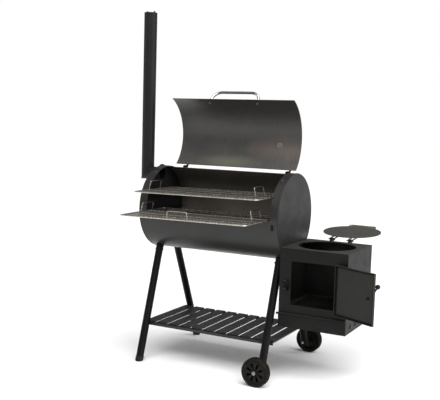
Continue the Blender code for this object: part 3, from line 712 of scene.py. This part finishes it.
def thermometer(x, deg):
    """Dial outside the lid, and its washer, nut and stem inside."""
    out = radial(deg)
    foot = on_barrel(x, deg, RADIUS + 0.0032)
    bm = bmesh.new()
    case = [(0, 0), (0.012, 0), (0.012, 0.004), (0.0285, 0.006), (0.0300, 0.0075), (0.0300, 0.0120),
            (0.0285, 0.0135), (0.0262, 0.0130), (0.0262, 0.0112), (0, 0.0112)]
    turned(bm, case, foot, out, 48)
    piece("thermometer_case", bm, CHROME, "lid", closed="lid_hinge")
    bm = bmesh.new()
    turned(bm, [(0, 0.0114), (0.0260, 0.0114), (0.0260, 0.0118), (0, 0.0118)], foot, out, 48)
    piece("thermometer_dial", bm, DIAL, "lid", closed="lid_hinge")
    bm = bmesh.new()
    up = out.cross(X).normalized()
    for k in range(11):
        a = math.radians(-130 + 26 * k)
        ray = up * math.cos(a) + X * math.sin(a)
        long = 0.006 if k % 2 == 0 else 0.0035
        p = foot + out * 0.0120
        swept(bm, [p + ray * (0.0245 - long), p + ray * 0.0245], 0.0005, 4)
    needle = math.radians(-70)
    ray = up * math.cos(needle) + X * math.sin(needle)
    p = foot + out * 0.0124
    swept(bm, [p - ray * 0.006, p + ray * 0.019], 0.0006, 4)
    turned(bm, [(0, 0), (0.0024, 0), (0.0020, 0.0008), (0, 0.0009)], p, out, 16)
    piece("thermometer_marks", bm, PLASTIC, "lid", closed="lid_hinge")
    bm = bmesh.new()
    inner = on_barrel(x, deg, RADIUS + 0.0006)
    turned(bm, [(0, 0), (0.0130, 0), (0.0135, 0.0007), (0.0125, 0.0015), (0, 0.0015)], inner, -out, 32)
    on_washer = inner - out * 0.0015
    hex_bolt(bm, on_washer, -out, 0.0058, washer=False)
    turned(bm, [(0, 0), (0.0030, 0), (0.0030, 0.0085), (0.0024, 0.0095), (0, 0.0095)], on_washer, -out, 18)
    piece("thermometer_nut", bm, DULL, "lid", closed="lid_hinge")


# ---------------------------------------------------------------- barrel, chimney and legs


def seam_rings():
    """Rolled seams where the end plates are set into the barrel."""
    for side, name in ((-1, "left"), (1, "right")):
        bm = bmesh.new()
        x = side * (HALF - 0.0030)
        ring = [on_barrel(x, 360 * i / 96, RADIUS + 0.0002) for i in range(96)]
        swept(bm, ring, 0.0011, 8, loop=True)
        piece(f"{name}_end_seam", bm, SHELL, "smoker")


def barrel_bolts():
    """Bolts near the barrel's ends, and a small lug at its right end."""
    bm = bmesh.new()
    for side in (-1, 1):
        for deg in (-10.0, 60.0):
            dome_bolt(bm, on_barrel(side * RAIL_X, deg, RADIUS), radial(deg), 0.0055)
    piece("barrel_rail_bolts", bm, BOLT, "smoker")
    bm = bmesh.new()
    spot = on_barrel(RAIL_X, -9.5)
    block(bm, spot + Vector((-0.004, -0.006, -0.012)), spot + Vector((0.004, 0.006, 0.012)), 0.001)
    piece("barrel_front_lug", bm, FRAME, "smoker")


def chimney_fittings():
    """Flange with bolts where the elbow meets the end plate, and the weld in the elbow's corner."""
    lo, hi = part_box("chimney_elbow")
    stack_lo, stack_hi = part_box("chimney_stack")
    r = (hi.y - lo.y) / 2
    elbow_z = lo.z + r
    pipe_x = (stack_lo.x + stack_hi.x) / 2
    face = MID.x - HALF
    bm = bmesh.new()
    flange = [(r + 0.0004, 0), (r + 0.016, 0), (r + 0.0165, 0.0012),
              (r + 0.0155, 0.0024), (r + 0.0004, 0.0024)]
    turned(bm, flange, Vector((face, MID.y, elbow_z)), -X, 48)
    piece("chimney_flange", bm, PIPE, "smoker")
    bm = bmesh.new()
    for k in range(4):
        a = math.radians(45 + 90 * k)
        spot = Vector((face - 0.0024, MID.y + (r + 0.009) * math.cos(a), elbow_z + (r + 0.009) * math.sin(a)))
        hex_bolt(bm, spot, -X, 0.0045, washer=False)
    piece("chimney_flange_bolts", bm, BOLT, "smoker")
    bm = bmesh.new()
    weld = []
    for i in range(64):
        a = 2 * math.pi * i / 64
        u = (r + 0.0003) * math.cos(a)
        weld.append(Vector((pipe_x + u, MID.y + (r + 0.0003) * math.sin(a), elbow_z + u)))
    swept(bm, weld, 0.0011, 6, loop=True)
    piece("chimney_mitre_weld", bm, PIPE, "smoker")


def leg_line(face, end):
    """Foot point and direction of a leg's middle line."""
    lo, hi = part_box(f"{face}_{end}_leg")
    side = -1 if face == "front" else 1
    reach = side * LEG_R * math.sqrt(1 + LEG_LEAN ** 2)
    low = Vector((hi.x - LEG_R, (lo.y if side < 0 else hi.y) - reach, lo.z))
    return low, Vector((LEG_SWAY[end], -side * LEG_LEAN, 1)).normalized()


def leg_fittings():
    """Bolts and collars at the tops of the legs, and caps under the left ones."""
    r = LEG_R
    collar = [(r + 0.0003, -0.012), (r + 0.0011, -0.0115), (r + 0.0011, -0.0045), (r + 0.0003, -0.004)]
    bolts = bmesh.new()
    collars = bmesh.new()
    for face in ("front", "rear"):
        for end in ("left", "right"):
            low, run = leg_line(face, end)
            top = low + run * leg_reach(low, run)
            spot = top - run * 0.024
            for way in (-1, 1):
                hex_bolt(bolts, spot + X * way * r, X * way, 0.0044)
            turned(collars, collar, top, run, 32)
    piece("leg_bolts", bolts, BOLT, "smoker")
    piece("leg_collars", collars, FRAME, "smoker")
    for face in ("front", "rear"):
        foot_cap(face)


def leg_reach(low, run):
    """How far along the leg's line the barrel is met."""
    p = Vector((0, low.y - MID.y, low.z - AXIS_Z))
    b = p.dot(run)
    return -b - math.sqrt(b * b - p.length_squared + RADIUS * RADIUS)


def foot_cap(face):
    """A plastic cap pushed over the leg's end, level below, with a rounded lip above."""
    low, run = leg_line(face, "left")
    squash = math.sqrt(1 + LEG_LEAN ** 2)
    bm = bmesh.new()
    rings = []
    n = 40
    mid = low - run / run.z * low.z
    profile = [(-0.004, 0.0), (0.0, 0.0012), (0.0012, 0.004),
               (0.0014, 0.020), (0.0008, 0.0222), (0.0002, 0.0225)]
    for grow, h in profile:
        r = LEG_R + grow
        ring = []
        for i in range(n):
            a = 2 * math.pi * i / n
            flat = Vector((r * math.cos(a), r * math.sin(a) * squash, 0))
            ring.append(bm.verts.new(mid + flat + run / run.z * h))
        rings.append(ring)
    for a, b in zip(rings, rings[1:]):
        bridge(bm, a, b, n)
    bm.faces.new(rings[0])
    bm.faces.new(rings[-1])
    cap = piece(f"{face}_foot_cap", bm, PLASTIC, "smoker")
    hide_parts(f"{face}_left_foot")


def shelf_bolts():
    """A rivet near each corner of each slat."""
    bm = bmesh.new()
    for k in range(1, 12):
        lo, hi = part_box(f"shelf_slat_{k:02d}")
        for y in (lo.y + 0.011, hi.y - 0.011):
            for x in (lo.x + 0.014, hi.x - 0.014):
                dome_bolt(bm, Vector((x, y, hi.z)), Z, 0.0032)
    piece("shelf_rivets", bm, FRAME, "smoker")


# ---------------------------------------------------------------- firebox


def firebox_fittings():
    """Rivets, screws, the drawer's nub and the collars of the air slots."""
    lo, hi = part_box("firebox_body")
    bm = bmesh.new()
    for z in (lo.z + 0.10, lo.z + 0.30):
        for y in (lo.y + 0.03, hi.y - 0.03):
            dome_bolt(bm, Vector((hi.x, y, z)), X, 0.0035)
    piece("firebox_side_rivets", bm, FIREBOX, "smoker")
    # door hinge screws
    bm = bmesh.new()
    for k in (1, 2):
        a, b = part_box(f"door_hinge_{k}")
        for z in (a.z + 0.008, b.z - 0.008):
            dome_bolt(bm, Vector((b.x - 0.006, lo.y - 0.0025, z)), -Y, 0.0028)
    a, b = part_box("door_catch")
    for z in (a.z + 0.006, b.z - 0.006):
        dome_bolt(bm, Vector((a.x + 0.007, lo.y - 0.0023, z)), -Y, 0.0030)
    piece("firebox_front_screws", bm, BOLT, "smoker")
    # small knob at the drawer's left end
    a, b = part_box("ash_drawer")
    bm = bmesh.new()
    nub = [(0, 0), (0.005, 0), (0.0055, 0.006), (0.0045, 0.008), (0, 0.0085)]
    turned(bm, nub, Vector((a.x + 0.003, a.y + 0.006, b.z - 0.004)), -X, 20)
    piece("ash_drawer_nub", bm, FIREBOX, "ash_drawer")
    # pressed collars round the air slots
    bm = bmesh.new()
    for y in AIR_SLOT_Y:
        slot = [(-0.0035, -0.0100), (0.0035, -0.0100), (0.0035, 0.0100), (-0.0035, 0.0100)]
        foot = Vector((hi.x + 0.0009, MID.y + y, AIR_SLOT_Z))
        flat_plate(bm, [circle(0.0125, 28), slot], 0.0014, foot, X, Y)
    piece("firebox_air_collars", bm, FRAME, "smoker")


def latch():
    """Ball knob, and the nut on the door's inner face."""
    lo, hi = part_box("latch_ball")
    mid, r = (lo + hi) / 2, (hi.z - lo.z) / 2
    pivot = Vector(JOINTS["latch_pivot"]["pos_m"])
    out = Vector(JOINTS["latch_pivot"]["axis"]).normalized()
    if out.dot(mid - pivot) < 0:
        out = -out
    bm = bmesh.new()
    steps = 14
    angles = [math.radians(30 + 150 * i / steps) for i in range(steps)]
    profile = [(0.0042, -r * 0.92), (0.0052, -r * 0.90)]
    profile += [(r * math.sin(a), -r * math.cos(a)) for a in angles]
    turned(bm, [(0, -r * 0.92)] + profile + [(0, r)], mid, out, 36)
    knob = piece("latch_knob", bm, PLASTIC, "latch")
    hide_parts("latch_ball")
    bm = bmesh.new()
    nut(bm, pivot - out * 0.0024, -out, 0.0050, 0.003)
    piece("latch_nut", bm, FRAME, "firebox_door")


def door_fittings():
    """A rope seal laid round the inside of the door, and the ends of its hinge pins."""
    lo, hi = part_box("firebox_door")
    pivot = Vector(JOINTS["firebox_door_hinge"]["pos_m"])
    inset, y = 0.0054, pivot.y + 0.0056
    left, right = pivot.x - DOOR_WIDE + inset, pivot.x - inset
    low, high = lo.z + inset, hi.z - inset
    corners = [(left, y, low), (right, y, low), (right, y, high), (left, y, high)]
    bm = bmesh.new()
    swept(bm, rounded(corners, 0.006, 4, loop=True), 0.0024, 10, loop=True)
    piece("door_rope_seal", bm, ROPE, "firebox_door", closed="firebox_door_hinge")
    bm = bmesh.new()
    for k in (1, 2):
        a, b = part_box(f"door_hinge_{k}")
        mid = Vector((a.x + 0.0045, a.y + 0.0045, 0))
        for z, way in ((a.z, -1), (b.z, 1)):
            dome_bolt(bm, Vector((mid.x, mid.y, z)), Z * way, 0.0040)
    piece("door_hinge_pins", bm, BOLT, "smoker")


# ---------------------------------------------------------------- stage


def stage():
    """A plain white floor."""
    floor = bmesh.new()
    bmesh.ops.create_grid(floor, x_segments=1, y_segments=1, size=60)
    mesh = bpy.data.meshes.new("floor")
    floor.to_mesh(mesh)
    floor.free()
    m = Nodes("floor_paper", 0.9, specular=0.1)
    m.colour(m.ramp(m.noise(0.8, 2), (0.3, (0.94, 0.94, 0.94)), (0.7, (0.96, 0.96, 0.96))))
    mesh.materials.append(m.mat)
    ob = bpy.data.objects.new("floor", mesh)
    bpy.context.scene.collection.objects.link(ob)


def area(name, where, look, size, power):
    """A soft box at where, turned to look."""
    data = bpy.data.lights.new(name, "AREA")
    data.shape, data.size, data.size_y, data.energy = "RECTANGLE", size[0], size[1], power
    ob = bpy.data.objects.new(name, data)
    ob.location = where
    ob.rotation_euler = (Vector(where) - Vector(look)).to_track_quat("Z", "Y").to_euler()
    bpy.context.scene.collection.objects.link(ob)


def lights():
    """A broad overhead light, three soft boxes, and white behind everything."""
    sun = bpy.data.lights.new("overhead", "SUN")
    sun.energy, sun.angle = 3.3, math.radians(70)
    ob = bpy.data.objects.new("overhead", sun)
    ob.rotation_euler = (math.radians(18), math.radians(20), 0)
    bpy.context.scene.collection.objects.link(ob)
    area("right_softbox", (3.8, 0.2, 2.0), (0, 0, 0.7), (4.4, 4.0), 105)
    area("left_strip", (-2.8, -1.2, 1.6), (-0.3, 0, 0.9), (0.5, 2.6), 8)
    area("front_top", (0.4, -2.8, 3.0), (0, 0, 0.8), (2.4, 1.0), 26)
    world = bpy.data.worlds.new("studio")
    bpy.context.scene.world = world
    world.use_nodes = True
    tree = world.node_tree
    back = tree.nodes["Background"]
    back.inputs["Color"].default_value = (1, 1, 1, 1)
    back.inputs["Strength"].default_value = 0.24
    seen = tree.nodes.new("ShaderNodeBackground")
    seen.inputs["Strength"].default_value = 1.0
    seen.inputs["Color"].default_value = (1, 1, 1, 1)
    path = tree.nodes.new("ShaderNodeLightPath")
    mix = tree.nodes.new("ShaderNodeMixShader")
    tree.links.new(path.outputs["Is Camera Ray"], mix.inputs[0])
    tree.links.new(back.outputs[0], mix.inputs[1])
    tree.links.new(seen.outputs[0], mix.inputs[2])
    tree.links.new(mix.outputs[0], tree.nodes["World Output"].inputs["Surface"])


def camera():
    """The camera, placed from the barrel's middle."""
    data = bpy.data.cameras.new("camera")
    data.lens, data.sensor_width = CAMERA_LENS, 36.0
    ob = bpy.data.objects.new("camera", data)
    azimuth, down, roll = (math.radians(v) for v in CAMERA_TURN)
    turn = Matrix.Rotation(azimuth, 4, "Z") @ Matrix.Rotation(math.pi / 2 - down, 4, "X")
    turn = turn @ Matrix.Rotation(roll, 4, "Z")
    ob.matrix_world = Matrix.Translation(at(*CAMERA_PLACE)) @ turn
    bpy.context.scene.collection.objects.link(ob)
    bpy.context.scene.camera = ob


keep_nodes()
grate("lower", 0.266, 0.037, (-0.067, 0.034))
grate("upper", 0.249, 0.013, None)
for face, side in (("front", -1), ("rear", 1)):
    wheel(face, side)
lid_fittings()
seam_rings()
barrel_bolts()
chimney_fittings()
leg_fittings()
shelf_bolts()
firebox_fittings()
latch()
door_fittings()
stage()
lights()
camera()
bpy.context.scene.view_settings.view_transform = "Standard"
